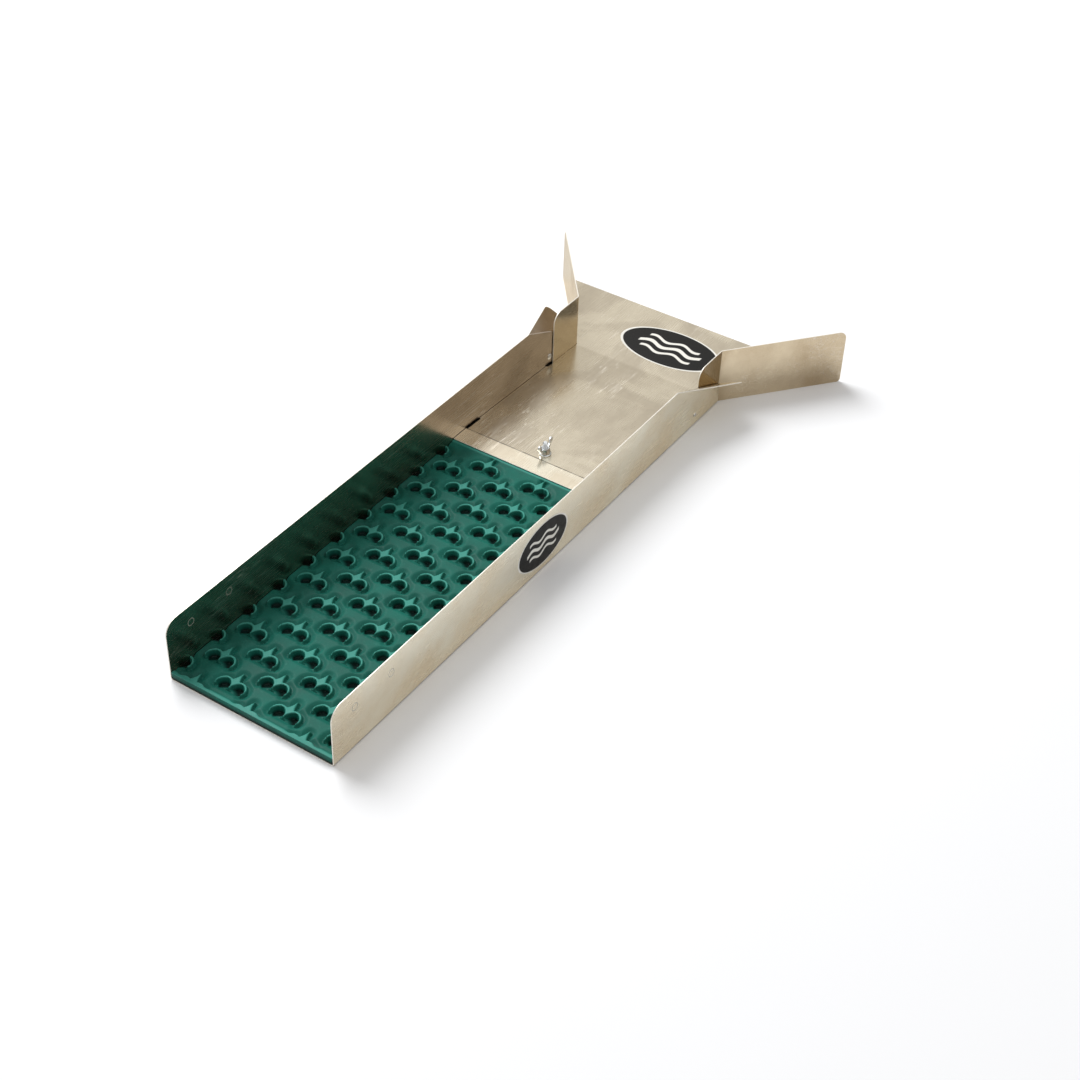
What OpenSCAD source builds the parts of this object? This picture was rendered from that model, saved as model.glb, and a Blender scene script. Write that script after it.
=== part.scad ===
// Stream sluice box: a folded metal trough with a ribbed rubber mat, and a
// lift-off inlet header held down by one stud and wing nut.
// Millimetres. X runs across the flow, +Y upstream, +Z up, z = 0 on the ground.
// The origin is under the middle of the whole box, half way along and across.

/* [Trough] */
// Outside width across the two walls
trough_w = 200; // [150:1:300]
// Length from the outlet edge to the rear edge
trough_l = 712; // [500:1:1000]
// Height of the walls above the ground
wall_h = 70; // [50:1:120]
// Thickness of every metal sheet
sheet_t = 1.2; // [0.8:0.1:2]
// Outside radius of the bends between floor and walls
bend_r = 2.6; // [2:0.1:6]
// Radius of the top corner of each wall at the outlet
outlet_corner_r = 16; // [4:1:30]
// Diameter of the pre-cut knock-out discs near the outlet
knockout_d = 9; // [5:0.5:15]
// Distance from the outlet edge to the first knock-out
knockout_y = 34; // [20:1:60]
// Spacing of the two knock-outs in each wall
knockout_pitch = 55; // [30:1:80]
// Height of the knock-outs above the ground
knockout_z = 50; // [30:1:60]

/* [Rear flaps] */
// Length of wall top that is folded outward at the rear
flap_l = 101; // [60:1:140]
// Height of wall left standing at the rear edge
flap_low_h = 26; // [15:1:40]
// Angle each rear flap is folded outward
flap_angle = 65; // [20:1:90]
// Radius of the free corner of each flap
flap_corner_r = 8; // [3:1:15]

/* [Mat] */
// Length of the mat
mat_l = 480; // [300:1:700]
// Gap between the mat and each wall
mat_gap = 1.5; // [0.3:0.1:3]
// Full thickness of the mat
mat_t = 9; // [6:0.5:14]
// Number of rows of cells along the flow
mat_rows = 19; // [8:1:30]
// Radius of each drop pocket
pocket_r = 6.6; // [4:0.1:9]
// Depth of each drop pocket below the top of the mat
pocket_depth = 7; // [2:0.5:8]
// Distance from the outlet edge to the first row of pockets
first_row_y = 19.9; // [8:0.1:30]
// Sideways shift of the moulded pattern, which is cut from a wider sheet
pattern_shift = -6.8; // [-15:0.1:15]

/* [Header] */
// Width of the gap between header and trough wall
header_gap = 0.5; // [0.3:0.1:2]
// Length of the flat lip that lies on the mat
lip_l = 24; // [10:1:40]
// Gap between lip and mat
lip_gap = 0.2; // [0.1:0.1:1]
// Length of the sloping tongue behind the lip
tongue_l = 226; // [100:1:300]
// Gap between the header floor and the trough floor at the rear
seat_gap = 0.6; // [0.2:0.1:1]
// Length of the side walls that stand inside the trough
side_l = 50; // [30:1:120]
// Corner radius at the front of each side wall
side_corner_r = 14; // [5:1:25]
// Length of each wing
wing_l = 156; // [80:1:250]
// Angle each wing flares out from the flow
wing_angle = 39; // [20:1:60]
// Radius of the outer top corner of each wing
wing_corner_r = 9; // [3:1:20]

/* [Fasteners] */
// Thread size of the stud
stud_d = 6; // [4:1:8]
// Height of the top of the stud above the ground
stud_top = 27; // [22:1:50]
// Distance from the lip fold to the stud
stud_back = 13; // [10:1:30]
// Washer diameter
washer_d = 14; // [12:1:20]
// Washer thickness
washer_t = 1.4; // [1:0.1:2]
// Diameter of the wing nut's round body at its foot
nut_d = 12.5; // [10:0.5:16]
// Height of the wing nut's round body
nut_h = 7; // [5:0.5:10]
// Span across the wing nut's wings
nut_span = 28; // [20:1:36]
// Height of the wing tips above the foot of the nut
nut_wing_h = 15; // [10:0.5:20]
// Diameter of the inside head of a locating rivet
rivet_head_d = 8; // [6:0.5:10]
// Height of the locating rivets above the ground
rivet_z = 15; // [12:1:30]

/* [Stickers] */
// Length of the sticker on the wall
wall_sticker_l = 92; // [50:1:150]
// Height of the sticker on the wall
wall_sticker_h = 54; // [30:1:60]
// Distance from the outlet edge to the middle of the wall sticker
wall_sticker_y = 344; // [150:1:500]
// Width of the sticker on the header floor
floor_sticker_w = 132; // [60:1:160]
// Length of the sticker on the header floor
floor_sticker_l = 74; // [40:1:90]
// Thickness of the stickers
sticker_t = 0.3; // [0.2:0.1:1]

/* [Hidden] */
$fn = 64;

// Levels above the ground
floor_top = sheet_t;
mat_top = floor_top + mat_t;
lip_z = mat_top + lip_gap;
seat_z = floor_top + seat_gap;

// Distances from the outlet edge
lip_front = mat_l - 18;
lip_fold = lip_front + lip_l;
header_bend = lip_fold + tongue_l;
side_front = header_bend - side_l;
stud_y = lip_fold + stud_back;
rivet_y = side_front - rivet_head_d / 2 - 1.5;
wing_dx = wing_l * sin(wing_angle);
wing_dy = wing_l * cos(wing_angle);
wing_y = header_bend + 2;
overall_l = wing_y + wing_dy + sheet_t / 2 * sin(wing_angle);
outlet_y = -overall_l / 2;

// Half widths
inner_half = trough_w / 2 - sheet_t;
side_face = inner_half - header_gap;
floor_half = side_face - sheet_t;
mat_half = inner_half - mat_gap;

// Fold line of a rear flap, down and back from the top of the wall
flap_drop = wall_h - flap_low_h;
fold_pitch = atan(flap_drop / flap_l);
fold_len = norm([flap_l, flap_drop]);

// Mat cells: rows are half a pitch out of step with each other
cell_w = 66.9;
row_l = 23.3;
pocket_x = 8.35;

// The washer sits on the tongue at the low side of its slope
tongue_drop = lip_z - seat_z;
washer_z = lip_z + sheet_t - tongue_drop * (stud_back - washer_d / 2) / tongue_l + 0.05;
nut_z = washer_z + washer_t + 0.05;

steel = [0.74, 0.71, 0.66];
steel_light = [0.83, 0.80, 0.74];
rubber_green = [0.05, 0.36, 0.30];
zinc = [0.72, 0.76, 0.78];
sticker_black = [0.08, 0.08, 0.08];

// Moves a part drawn from the outlet edge into the part's own frame.
module from_outlet() {
  translate([0, outlet_y, 0])
    children();
}

// Both sides, the left one mirrored.
module both_sides() {
  children();
  mirror([1, 0, 0])
    children();
}

// Turns a drawing in (distance upstream, height) into a plate of the given
// thickness whose outer face lies at x = face_x.
module upright_plate(face_x, thickness) {
  translate([face_x - thickness, 0, 0])
    rotate([90, 0, 90])
      linear_extrude(thickness)
        children();
}

// An ellipse as a fine polygon.
module oval(length, width) {
  polygon([for (a = [0:5:355]) [length / 2 * cos(a), width / 2 * sin(a)]]);
}

// The waste outside a rounded corner of radius r. The corner point is at the
// origin and the material lies in +x, -y.
module corner_waste(r) {
  arc = [for (a = [180:-7.5:90]) [r + r * cos(a), -r + r * sin(a)]];
  polygon(concat([[-1, 1], [-1, -r]], arc, [[r, 1]]));
}

// ---- trough -------------------------------------------------------------

// Cross-section of the trough with rounded bends.
module channel_section() {
  half = trough_w / 2;
  inner_r = bend_r - sheet_t;
  difference() {
    union() {
      translate([-half, bend_r])
        square([trough_w, wall_h - bend_r]);
      translate([-half + bend_r, 0])
        square([trough_w - 2 * bend_r, bend_r + 1]);
      for (side = [-1, 1])
        translate([side * (half - bend_r), bend_r])
          circle(bend_r);
    }
    translate([-inner_half, bend_r])
      square([2 * inner_half, wall_h]);
    translate([-half + bend_r, sheet_t])
      square([trough_w - 2 * bend_r, bend_r]);
    for (side = [-1, 1])
      translate([side * (half - bend_r), bend_r])
        circle(inner_r);
  }
}

// A nearly complete ring cut through a wall; two bridges keep the disc in.
module knockout_slot(y, z) {
  ring_t = 0.4;
  translate([0, y, z])
    rotate([0, 90, 0])
      difference() {
        cylinder(d = knockout_d, h = trough_w + 2, center = true);
        cylinder(d = knockout_d - 2 * ring_t, h = trough_w + 4, center = true);
        rotate([0, 0, 55])
          cube([1.2, knockout_d + 2, trough_w + 4], center = true);
      }
}

// Material removed where the rear corners fold out.
module rear_corner_waste() {
  rotate([90, 0, 90])
    linear_extrude(trough_w + 2, center = true)
      polygon([
        [trough_l - flap_l, wall_h],
        [trough_l, flap_low_h],
        [trough_l + 1, flap_low_h],
        [trough_l + 1, wall_h + 1],
        [trough_l - flap_l, wall_h + 1]
      ]);
}

// The folded corner, drawn flat with the fold line along +y, then turned out.
module flap() {
  tip_along = flap_l * cos(fold_pitch);
  tip_up = flap_l * sin(fold_pitch);
  translate([trough_w / 2 - sheet_t / 2, trough_l - flap_l, wall_h])
    rotate([-fold_pitch, 0, 0]) {
      rotate([0, flap_angle, 0])
        upright_plate(sheet_t / 2, sheet_t)
          difference() {
            polygon([[2, 0], [fold_len - 1, 0], [tip_along, tip_up]]);
            flap_tip_waste(tip_along, tip_up);
          }
      translate([0, 2, 0])
        rotate([-90, 0, 0])
          cylinder(d = sheet_t + 0.1, h = fold_len - 3);
    }
}

// Waste outside the rounded free corner. The corner is a right angle whose
// edges run along the old wall top and the old rear edge.
module flap_tip_waste(tip_along, tip_up) {
  translate([tip_along, tip_up])
    rotate(fold_pitch)
      mirror([1, 0])
        corner_waste(flap_corner_r);
}

module trough() {
  color(steel)
    from_outlet()
      union() {
        difference() {
          translate([0, trough_l, 0])
            rotate([90, 0, 0])
              linear_extrude(trough_l)
                channel_section();
          rotate([90, 0, 90])
            linear_extrude(trough_w + 2, center = true)
              translate([0, wall_h])
                corner_waste(outlet_corner_r);
          rear_corner_waste();
          for (i = [0, 1])
            knockout_slot(knockout_y + i * knockout_pitch, knockout_z);
          translate([0, stud_y, -1])
            cylinder(d = stud_d + 0.1, h = sheet_t + 2);
          translate([0, rivet_y, rivet_z])
            rotate([0, 90, 0])
              cylinder(d = 4.1, h = trough_w + 2, center = true);
        }
        both_sides()
          flap();
      }
}

// ---- mat ----------------------------------------------------------------

// Calls its child once for every cell of the mat. Even rows have a cell over
// each edge of the mat, so only half of that cell is there.
module each_cell() {
  for (row = [0:mat_rows - 1]) {
    columns = (row % 2 == 0) ? [-1.5:1.5] : [-1:1];
    for (column = columns)
      translate([pattern_shift + column * cell_w, first_row_y + row * row_l, 0])
        children();
  }
}

// Each cell is a pair of deep pockets side by side across the flow.
module mat() {
  color(rubber_green)
    from_outlet()
      difference() {
        translate([-mat_half, 0, floor_top])
          cube([2 * mat_half, mat_l, mat_t]);
        each_cell()
          for (side = [-1, 1])
            translate([side * pocket_x, 0, mat_top - pocket_depth])
              cylinder(r = pocket_r, h = pocket_depth + 1, $fn = 32);
      }
}

// ---- header -------------------------------------------------------------

// Lip, sloping tongue and level inlet floor as one bent sheet, from the side.
module header_profile() {
  rear = overall_l;
  polygon([
    [lip_front, lip_z],
    [lip_fold, lip_z],
    [header_bend, seat_z],
    [rear, seat_z],
    [rear, seat_z + sheet_t],
    [header_bend, seat_z + sheet_t],
    [lip_fold, lip_z + sheet_t],
    [lip_front, lip_z + sheet_t]
  ]);
}

// The header floor from above. Lip and tongue fill the trough; the floor is
// narrower between the side plates. Its edge is set back beside the lip fold
// and beside each locating rivet.
module floor_plan() {
  setback = 1.8;
  mitre = sheet_t / 2 * tan(wing_angle / 2);
  flare_x = floor_half + wing_dx - 0.2;
  flare_y = wing_y + wing_dy;
  edge = [
    [side_face, lip_front],
    [side_face, lip_fold],
    [side_face - setback, lip_fold],
    [side_face - setback, lip_fold + 26],
    [side_face, lip_fold + 26],
    [side_face, rivet_y - 7],
    [side_face - setback, rivet_y - 7],
    [side_face - setback, rivet_y + 5],
    [floor_half, rivet_y + 5],
    [floor_half, wing_y + mitre],
    [flare_x, flare_y]
  ];
  last = len(edge) - 1;
  mirrored = [for (i = [last:-1:0]) [-edge[i][0], edge[i][1]]];
  polygon(concat(edge, mirrored));
}

module header_floor() {
  color(steel_light)
    from_outlet()
      difference() {
        intersection() {
          rotate([90, 0, 90])
            linear_extrude(3 * trough_w, center = true)
              header_profile();
          linear_extrude(wall_h)
            floor_plan();
        }
        translate([0, stud_y, 0])
          cylinder(d = stud_d + 1, h = wall_h);
      }
}

// A side plate from above: the side wall runs along the flow and the wing
// turns away from it at a mitred bend.
module side_plate_plan() {
  half_t = sheet_t / 2;
  mitre = half_t * tan(wing_angle / 2);
  bend_x = side_face - half_t;
  tip = [bend_x + wing_dx, wing_y + wing_dy];
  outward = half_t * [cos(wing_angle), -sin(wing_angle)];
  polygon([
    [side_face, side_front],
    [side_face, wing_y - mitre],
    tip + outward,
    tip - outward,
    [floor_half, wing_y + mitre],
    [floor_half, side_front]
  ]);
}

// Material under the side wall, which stands on the level of the header
// floor; the wing itself reaches the ground.
module side_foot_waste() {
  low = seat_z + tongue_drop * side_l / tongue_l;
  rear = wing_y - 0.6;
  upright_plate(side_face + 1, sheet_t + 2)
    polygon([
      [side_front - 1, -1],
      [rear, -1],
      [rear, seat_z],
      [header_bend, seat_z],
      [side_front, low],
      [side_front - 1, low]
    ]);
}

// Waste at the two rounded outer corners of a wing. It stands a hair outside
// the corners, so that no edge of it lies exactly on a face of the wing.
module wing_corner_cuts() {
  hair = 0.03;
  reach = wing_l + hair;
  translate([side_face - sheet_t / 2, wing_y, 0])
    rotate([0, 0, -wing_angle])
      upright_plate(sheet_t, 2 * sheet_t) {
        translate([reach, wall_h + hair])
          mirror([1, 0])
            corner_waste(wing_corner_r);
        translate([reach, -hair])
          rotate(180)
            corner_waste(wing_corner_r / 2);
      }
}

// Side wall and wing are one plate with an upright bend between them.
module side_plate() {
  difference() {
    linear_extrude(wall_h)
      side_plate_plan();
    upright_plate(side_face + 1, sheet_t + 2)
      translate([side_front, wall_h])
        corner_waste(side_corner_r);
    side_foot_waste();
    wing_corner_cuts();
  }
}

module wing_right() {
  color(steel)
    from_outlet()
      side_plate();
}

module wing_left() {
  color(steel)
    from_outlet()
      mirror([1, 0, 0])
        side_plate();
}

// ---- fasteners ----------------------------------------------------------

// Press-in stud: a thin collar on the trough floor and a plain shank.
module stud() {
  color(zinc)
    from_outlet()
      translate([0, stud_y, 0]) {
        cylinder(d = stud_d, h = stud_top - 0.6);
        translate([0, 0, floor_top])
          cylinder(d = stud_d + 5, h = 1.2);
        translate([0, 0, stud_top - 0.6])
          cylinder(d1 = stud_d, d2 = stud_d - 1.2, h = 0.6);
      }
}

module washer() {
  color(zinc)
    from_outlet()
      translate([0, stud_y, washer_z])
        difference() {
          cylinder(d = washer_d, h = washer_t);
          translate([0, 0, -1])
            cylinder(d = stud_d + 0.4, h = washer_t + 2);
        }
}

// One wing of the nut, standing out along +y and leaning away from the body.
module nut_wing() {
  tip = nut_span / 2;
  translate([-1.1, 0, 0])
    rotate([90, 0, 90])
      linear_extrude(2.2)
        difference() {
          polygon([
            [nut_d / 2 - 3, 1],
            [nut_d / 2 + 0.5, 1],
            [tip, nut_wing_h * 0.62],
            [tip, nut_wing_h],
            [tip - 6, nut_wing_h],
            [nut_d / 2 - 3, nut_h - 0.5]
          ]);
          translate([tip, nut_wing_h])
            mirror([1, 0])
              corner_waste(3);
        }
}

// The wings lie along the flow.
module wing_nut() {
  color(zinc)
    from_outlet()
      translate([0, stud_y, nut_z])
        difference() {
          union() {
            cylinder(d1 = nut_d, d2 = nut_d - 3, h = nut_h);
            nut_wing();
            rotate([0, 0, 180])
              nut_wing();
          }
          translate([0, 0, -1])
            cylinder(d = stud_d + 0.1, h = nut_wing_h + 2);
        }
}

// Two blind rivets that stop the header from moving downstream.
module locating_rivets() {
  color(zinc)
    from_outlet()
      both_sides()
        translate([0, rivet_y, rivet_z])
          rotate([0, 90, 0]) {
            translate([0, 0, inner_half - 1.2])
              cylinder(d = rivet_head_d, h = 1.2);
            translate([0, 0, inner_half - 0.5])
              cylinder(d = 4, h = sheet_t + 0.5);
            translate([0, 0, trough_w / 2])
              cylinder(d = 5.5, h = 0.8);
          }
}

// ---- stickers -----------------------------------------------------------

module wall_sticker() {
  color(sticker_black)
    from_outlet()
      upright_plate(trough_w / 2 + sticker_t, sticker_t)
        translate([wall_sticker_y, wall_h / 2])
          oval(wall_sticker_l, wall_sticker_h);
}

module floor_sticker() {
  color(sticker_black)
    from_outlet()
      translate([0, header_bend + wing_dy / 2 - 2, seat_z + sheet_t])
        linear_extrude(sticker_t)
          oval(floor_sticker_w, floor_sticker_l);
}

trough();
mat();
header_floor();
wing_left();
wing_right();
stud();
washer();
wing_nut();
locating_rivets();
wall_sticker();
floor_sticker();
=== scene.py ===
"""Looks for the stream sluice box: folded sheet metal, moulded rubber mat and zinc fasteners.

Lengths in the constants are millimetres, as in the CAD source; meshes are made in metres in the
CAD frame. X runs across the flow, +Y upstream, +Z up.
"""
from math import atan, cos, floor, pi, radians, sin, tan

import bmesh
import bpy
import numpy as np
from mathutils import Matrix, Vector
from mathutils.geometry import delaunay_2d_cdt


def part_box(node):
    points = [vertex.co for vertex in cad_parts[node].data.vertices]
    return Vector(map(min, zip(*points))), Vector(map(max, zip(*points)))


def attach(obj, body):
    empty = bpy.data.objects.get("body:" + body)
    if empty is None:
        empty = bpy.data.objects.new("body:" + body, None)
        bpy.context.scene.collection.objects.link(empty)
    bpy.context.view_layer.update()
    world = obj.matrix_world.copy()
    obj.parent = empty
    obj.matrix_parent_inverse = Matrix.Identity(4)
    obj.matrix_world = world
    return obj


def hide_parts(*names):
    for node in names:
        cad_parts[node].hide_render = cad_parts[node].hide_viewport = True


MM = 0.001
SHEET_T = 1.2
CHAMFER = 0.15

# Trough
TROUGH_W = 200.0
TROUGH_L = 712.0
WALL_H = 69.8
BEND_R = 2.6
OUTLET_CORNER_R = 16.0
KNOCKOUT_R = 4.5
KNOCKOUT_SLOT = 0.8
KNOCKOUT_YS = (34.0, 89.0)
KNOCKOUT_Z = 50.0
FLAP_L = 101.0
FLAP_LOW_H = 26.0
FLAP_ANGLE = radians(65)
FLAP_CORNER_R = 8.0
FLAP_BEND_R = 1.5

# Mat
MAT_L = 480.0
MAT_HALF = 98.3
MAT_FOOT_HALF = 97.3
MAT_T = 9.0
MAT_STEP = 0.8
CELL_W = 66.9
ROW_L = 23.3
FIRST_ROW_Y = 19.9
PATTERN_SHIFT = -6.8
POCKET_X = 8.35
SHANK_L = 19.0
FIN_END = -32.0
POCKET_DEEP = 55.0
PATTERN_END = 458.0
MAT_ROWS = 19

# Header
LIP_FRONT = 462.0
LIP_FOLD = 486.0
LIP_Z = 10.4
LIP_CORNER_R = 1.5
RELIEF_DEPTH = 2.0
FOLD_RELIEF_L = 26.0
RIVET_RELIEF_FRONT = 6.0
RIVET_RELIEF_REAR = 4.0
TONGUE_RIM_L = 167.0
SEAT_Z = 1.8
HEADER_BEND = 712.0
SIDE_FRONT = 662.0
SIDE_FACE = 98.3
TONGUE_HALF = 98.5
FLOOR_HALF = 97.1
SIDE_CORNER_R = 14.0
WING_L = 156.0
WING_Y = 714.0
WING_ANGLE = radians(39)
WING_CORNER_R = 9.0
WING_BEND_R = 4.0
RIVET_Y = 656.5
RIVET_Z = 15.0
RIVET_HOLE_R = 2.05
STUD_Y = 499.0

# Fasteners
STUD_R = 3.0
THREAD_PITCH = 1.0

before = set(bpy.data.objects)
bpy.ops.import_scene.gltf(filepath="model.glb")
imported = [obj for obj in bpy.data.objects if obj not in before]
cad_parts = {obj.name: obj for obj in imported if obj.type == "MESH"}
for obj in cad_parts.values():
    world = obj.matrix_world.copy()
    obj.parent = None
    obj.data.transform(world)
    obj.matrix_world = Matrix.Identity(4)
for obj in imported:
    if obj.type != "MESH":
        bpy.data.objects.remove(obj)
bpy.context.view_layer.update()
OUTLET_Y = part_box("mat")[0].y


def metres(x, y, z):
    """A point given in millimetres from the outlet edge, in the CAD frame."""
    return Vector((x * MM, OUTLET_Y + y * MM, z * MM))


# ---- mesh helpers -----------------------------------------------------------


def finish_mesh(name, bm, sharp_angle=28):
    """Turns a bmesh into a smooth-shaded object whose sharp edges stay crisp."""
    bmesh.ops.recalc_face_normals(bm, faces=bm.faces)
    for face in bm.faces:
        face.smooth = True
    for edge in bm.edges:
        if len(edge.link_faces) == 2:
            edge.smooth = edge.calc_face_angle(0) < radians(sharp_angle)
    mesh = bpy.data.meshes.new(name)
    bm.to_mesh(mesh)
    bm.free()
    obj = bpy.data.objects.new(name, mesh)
    bpy.context.scene.collection.objects.link(obj)
    return obj


def arc(cx, cy, r, start, end, steps=10):
    """Points on a circle, angles in degrees."""
    angles = [radians(start + (end - start) * i / steps) for i in range(steps + 1)]
    return [(cx + r * cos(a), cy + r * sin(a)) for a in angles]


def outward_directions(points, triangles):
    """For each point on the rim of a flat mesh, the mitred direction that leaves the sheet."""
    edges = {}
    for tri in triangles:
        for a, b in zip(tri, tri[1:] + tri[:1]):
            edges[(a, b)] = True
    rim = [(a, b) for a, b in edges if (b, a) not in edges]
    normals = {}
    for a, b in rim:
        d = (points[b] - points[a]).normalized()
        out = Vector((d.y, -d.x))
        normals.setdefault(a, []).append(out)
        normals.setdefault(b, []).append(out)
    directions = {}
    for i, pair in normals.items():
        mean = sum(pair, Vector((0, 0))).normalized()
        directions[i] = mean / max(0.5, mean.dot(pair[0]))
    return rim, directions


def folded_sheet(name, outline, holes, lines, place, chamfer=CHAMFER):
    """Cuts a flat blank, folds it with place(u, v) -> (point, normal), in millimetres, and gives
    it thickness and chamfered cut edges. Faces of the cut edge use material slot 1.

    The outlines in holes only add edges to the mesh. The triangulation keeps the sheet inside
    them, so nothing is cut out there, unlike in the CAD part."""
    points, edges = [], []
    for loop in [outline] + holes:
        first = len(points)
        points += loop
        edges += [(first + i, first + (i + 1) % len(loop)) for i in range(len(loop))]
    for a, b in lines:
        edges.append((len(points), len(points) + 1))
        points += [a, b]
    flat, _, triangles, *_ = delaunay_2d_cdt([Vector(p) for p in points], edges, [], 2, 1e-4)
    triangles = [list(t) for t in triangles]
    used = sorted({i for t in triangles for i in t})
    rim, outward = outward_directions(flat, triangles)
    half = SHEET_T / 2

    bm = bmesh.new()

    def vertex(uv, height):
        point, normal = place(uv.x, uv.y)
        return bm.verts.new(metres(*(point + normal * height)))

    inner = {i: flat[i] - outward[i] * chamfer if i in outward else flat[i] for i in used}
    top = {i: vertex(inner[i], half) for i in used}
    bottom = {i: vertex(inner[i], -half) for i in used}
    rim_top = {i: vertex(flat[i], half - chamfer) for i in outward}
    rim_bottom = {i: vertex(flat[i], -half + chamfer) for i in outward}
    for a, b, c in triangles:
        bm.faces.new((top[a], top[b], top[c]))
        bm.faces.new((bottom[c], bottom[b], bottom[a]))
    rows = (bottom, rim_bottom, rim_top, top)
    for a, b in rim:
        for low, high in zip(rows, rows[1:]):
            face = bm.faces.new((low[a], low[b], high[b], high[a]))
            face.material_index = 1
    return finish_mesh(name, bm)


def surface_of_turning(name, radius_at, heights, centre, segments=48, closed_profile=False):
    """A turned solid about a vertical axis. radius_at(angle, height index) gives the radius.
    With closed_profile the last ring joins the first, which leaves a bore."""
    bm = bmesh.new()
    rings = []
    for j, z in enumerate(heights):
        ring = []
        for i in range(segments):
            a = 2 * pi * i / segments
            r = radius_at(a, j)
            ring.append(bm.verts.new(metres(centre[0] + r * cos(a), centre[1] + r * sin(a), z)))
        rings.append(ring)
    pairs = list(zip(rings, rings[1:]))
    if closed_profile:
        pairs.append((rings[-1], rings[0]))
    for low, high in pairs:
        for i in range(segments):
            k = (i + 1) % segments
            bm.faces.new((low[i], low[k], high[k], high[i]))
    if not closed_profile:
        bm.faces.new(rings[0][::-1])
        bm.faces.new(rings[-1])
    return finish_mesh(name, bm)


def turned(name, profile, centre, segments=48, closed_profile=False):
    """A turned solid from (radius, height) pairs."""
    return surface_of_turning(
        name, lambda a, j: profile[j][0], [p[1] for p in profile], centre, segments, closed_profile
    )


# ---- sheet metal shapes -----------------------------------------------------


def bend_stations(start, length, steps=8, margin=0.5):
    """Where to put fold lines across a bend: its facets, and one support line on each side."""
    inside = [start + length * k / steps for k in range(steps + 1)]
    return [start - margin] + inside + [start + length + margin]


WALL_MID = TROUGH_W / 2 - SHEET_T / 2
FOLD_MID_R = BEND_R - SHEET_T / 2
FLOOR_FLAT = WALL_MID - FOLD_MID_R
FLOOR_ARC = FOLD_MID_R * pi / 2
WALL_START_Z = SHEET_T / 2 + FOLD_MID_R
BLANK_HALF = FLOOR_FLAT + FLOOR_ARC + WALL_H - WALL_START_Z
FLAP_PITCH = atan((WALL_H - FLAP_LOW_H) / FLAP_L)
FLAP_ARC = FLAP_BEND_R * FLAP_ANGLE


def flap_distance(y, z):
    """How far a wall point lies beyond the start of the flap's fold."""
    return (y - TROUGH_L + FLAP_L) * sin(FLAP_PITCH) + (z - WALL_H) * cos(FLAP_PITCH) + FLAP_ARC / 2


def place_trough(s, y):
    """Folds the trough's blank: s runs across the floor and up the walls."""
    side = 1 if s > 0 else -1
    s = abs(s)
    if s <= FLOOR_FLAT:
        return Vector((side * s, y, SHEET_T / 2)), Vector((0, 0, 1))
    if s < FLOOR_FLAT + FLOOR_ARC:
        a = (s - FLOOR_FLAT) / FOLD_MID_R
        x = FLOOR_FLAT + FOLD_MID_R * sin(a)
        z = WALL_START_Z - FOLD_MID_R * cos(a)
        return Vector((side * x, y, z)), Vector((-side * sin(a), 0, cos(a)))
    z = WALL_START_Z + s - FLOOR_FLAT - FLOOR_ARC
    beyond = flap_distance(y, z)
    if beyond <= 0:
        return Vector((side * WALL_MID, y, z)), Vector((-side, 0, 0))
    across = Vector((0, sin(FLAP_PITCH), cos(FLAP_PITCH)))
    out = Vector((side, 0, 0))
    a = min(beyond / FLAP_BEND_R, FLAP_ANGLE)
    rest = max(0, beyond - FLAP_ARC)
    start = Vector((side * WALL_MID, y, z)) - across * beyond
    along = FLAP_BEND_R * sin(a) + rest * cos(a)
    outside = FLAP_BEND_R * (1 - cos(a)) + rest * sin(a)
    return start + across * along + out * outside, across * sin(a) - out * cos(a)


def knockout_slots(s, y):
    """Outlines of the two arcs round a knock-out disc. folded_sheet leaves them uncut."""
    slots = []
    for start in (45, 225):
        outer = arc(s, y, KNOCKOUT_R, start, start + 160, 16)
        inner = arc(s, y, KNOCKOUT_R - KNOCKOUT_SLOT, start + 160, start, 16)
        slots.append(outer + inner)
    return slots


def round_hole(s, y, r):
    """A round outline, its first point not repeated. folded_sheet leaves it uncut."""
    return arc(s, y, r, 0, 345, 23)


def make_trough():
    outlet_r = OUTLET_CORNER_R
    flap_r = FLAP_CORNER_R
    outline = arc(BLANK_HALF - outlet_r, outlet_r, outlet_r, -90, 0, 14)
    outline += arc(BLANK_HALF - flap_r, TROUGH_L - flap_r, flap_r, 0, 90)
    outline += arc(-BLANK_HALF + flap_r, TROUGH_L - flap_r, flap_r, 90, 180)
    outline += arc(-BLANK_HALF + outlet_r, outlet_r, outlet_r, 180, 270, 14)
    blank_s = FLOOR_FLAT + FLOOR_ARC - WALL_START_Z
    holes = [round_hole(0, STUD_Y, STUD_R)]
    lines = []
    for side in (-1, 1):
        for s in bend_stations(FLOOR_FLAT, FLOOR_ARC):
            lines.append(((side * s, 0), (side * s, TROUGH_L)))
        for beyond in bend_stations(0, FLAP_ARC, 6):
            shift = beyond - FLAP_ARC / 2
            y = TROUGH_L - FLAP_L + shift / sin(FLAP_PITCH)
            z = WALL_H + (shift - FLAP_L * sin(FLAP_PITCH)) / cos(FLAP_PITCH)
            lines.append(((side * BLANK_HALF, y), (side * (blank_s + z), TROUGH_L)))
        for y in KNOCKOUT_YS:
            holes += knockout_slots(side * (blank_s + KNOCKOUT_Z), y)
        holes.append(round_hole(side * (blank_s + RIVET_Z), RIVET_Y, RIVET_HOLE_R))
    return folded_sheet("trough_sheet", outline, holes, lines, place_trough)


LIP_KINK = 0.8
FLOOR_KINK = 1.8


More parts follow.
